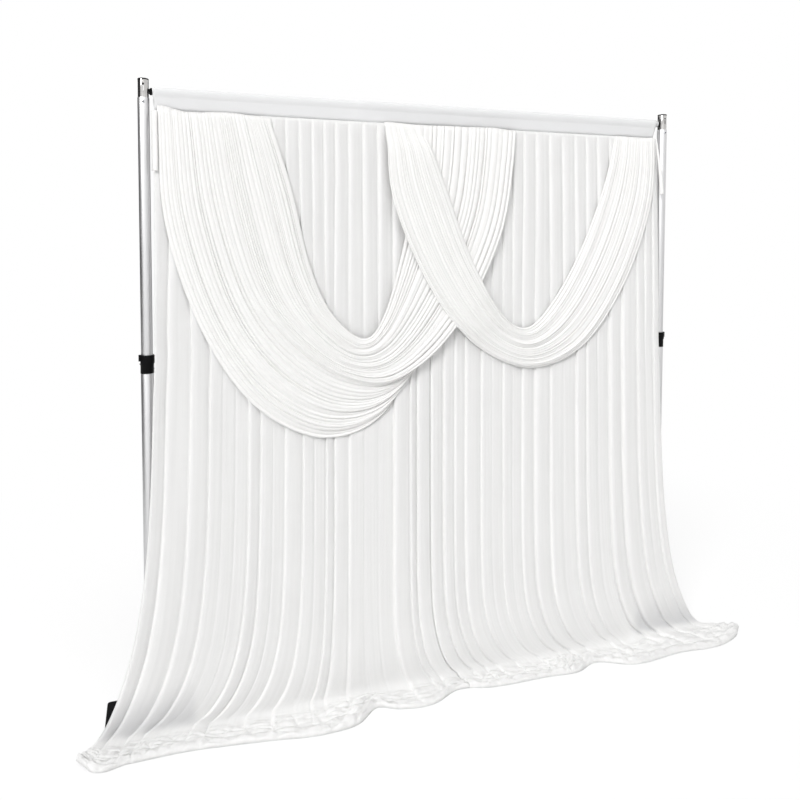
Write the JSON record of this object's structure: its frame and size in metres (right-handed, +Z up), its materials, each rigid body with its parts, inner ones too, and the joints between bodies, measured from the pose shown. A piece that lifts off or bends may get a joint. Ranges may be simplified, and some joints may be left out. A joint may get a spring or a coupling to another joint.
{
  "type": "pipe and drape backdrop",
  "caption": "Free-standing white curtain with two overlapping swags, hung from a telescoping crossbar between two telescopic uprights on flat steel bases.",
  "frame": {"origin": "on the floor, in the middle of the rectangle of ground that bases and hem cover together", "axes": "+Z up, +X along the crossbar to the right of a viewer who faces the curtain, and the curtain's front faces -Y"},
  "size_m": [3.6434, 0.5272, 3.05],
  "materials": {
    "black_steel": "satin",
    "zinc_steel": "satin",
    "satin_aluminium": "satin",
    "chrome": "polished",
    "black_plastic": "satin",
    "curtain_cloth": "matte",
    "header_cloth": "matte",
    "swag_cloth": "matte"
  },
  "bodies": {
    "left_stand": {"left_base_plate": "black_steel", "left_base_spigot": "zinc_steel", "left_base_bolt": "zinc_steel", "left_base_nut": "zinc_steel", "left_lower_tube": "satin_aluminium", "left_collar": "black_plastic", "left_collar_screw": "zinc_steel", "left_lever_pin": "zinc_steel", "left_lever_spring": "zinc_steel", "left_curtain_panel": "curtain_cloth", "right_curtain_panel": "curtain_cloth"},
    "left_lever": {"left_release_lever": "black_plastic"},
    "left_mast": {"left_upper_tube": "satin_aluminium", "left_foot_bush": "black_plastic", "left_crown": "chrome", "left_crown_cap": "black_plastic", "left_crown_screw_front": "zinc_steel", "left_crown_screw_back": "zinc_steel", "left_hook": "black_steel", "left_bar_plug": "black_plastic", "left_hook_rivet": "zinc_steel", "crossbar_inner_tube": "satin_aluminium", "header_sleeve": "header_cloth", "left_swag": "swag_cloth", "right_swag": "swag_cloth", "left_loose_end": "swag_cloth", "right_loose_end": "swag_cloth"},
    "right_stand": {"right_base_plate": "black_steel", "right_base_spigot": "zinc_steel", "right_base_bolt": "zinc_steel", "right_base_nut": "zinc_steel", "right_lower_tube": "satin_aluminium", "right_collar": "black_plastic", "right_collar_screw": "zinc_steel", "right_lever_pin": "zinc_steel", "right_lever_spring": "zinc_steel"},
    "right_lever": {"right_release_lever": "black_plastic"},
    "right_mast": {"right_upper_tube": "satin_aluminium", "right_foot_bush": "black_plastic", "right_crown": "chrome", "right_crown_cap": "black_plastic", "right_crown_screw_front": "zinc_steel", "right_crown_screw_back": "zinc_steel", "right_hook": "black_steel", "right_bar_plug": "black_plastic", "right_hook_rivet": "zinc_steel", "crossbar_outer_tube": "satin_aluminium", "crossbar_guide_ring": "black_plastic"}
  },
  "joints": [
    {"name": "left_height", "type": "slide", "parent": "left_stand", "child": "left_mast", "axis": [0, 0, 1], "range_m": [-1.15, 0], "deforming": ["left_curtain_panel", "right_curtain_panel"]},
    {"name": "crossbar_width", "type": "slide", "parent": "left_stand", "child": "right_stand", "axis": [1, 0, 0], "range_m": [0, 0.15]},
    {"name": "right_height", "type": "slide", "parent": "right_stand", "child": "right_mast", "axis": [0, 0, 1], "range_m": [-1.15, 0]},
    {"name": "left_lever_swing", "type": "hinge", "parent": "left_stand", "child": "left_lever", "pos_m": [-1.53313, 0.0486, 1.768], "axis": [0, 1, 0], "range_deg": [0, 12], "stiffness_Nm_per_rad": 0.1, "springref_deg": -17.19},
    {"name": "right_lever_swing", "type": "hinge", "parent": "right_stand", "child": "right_lever", "pos_m": [1.41047, 0.0486, 1.768], "axis": [0, -1, 0], "range_deg": [0, 12], "stiffness_Nm_per_rad": 0.1, "springref_deg": -17.19}
  ],
  "couplings": [
    {"joint": "right_height", "follows": "left_height", "ratio": 1}
  ]
}
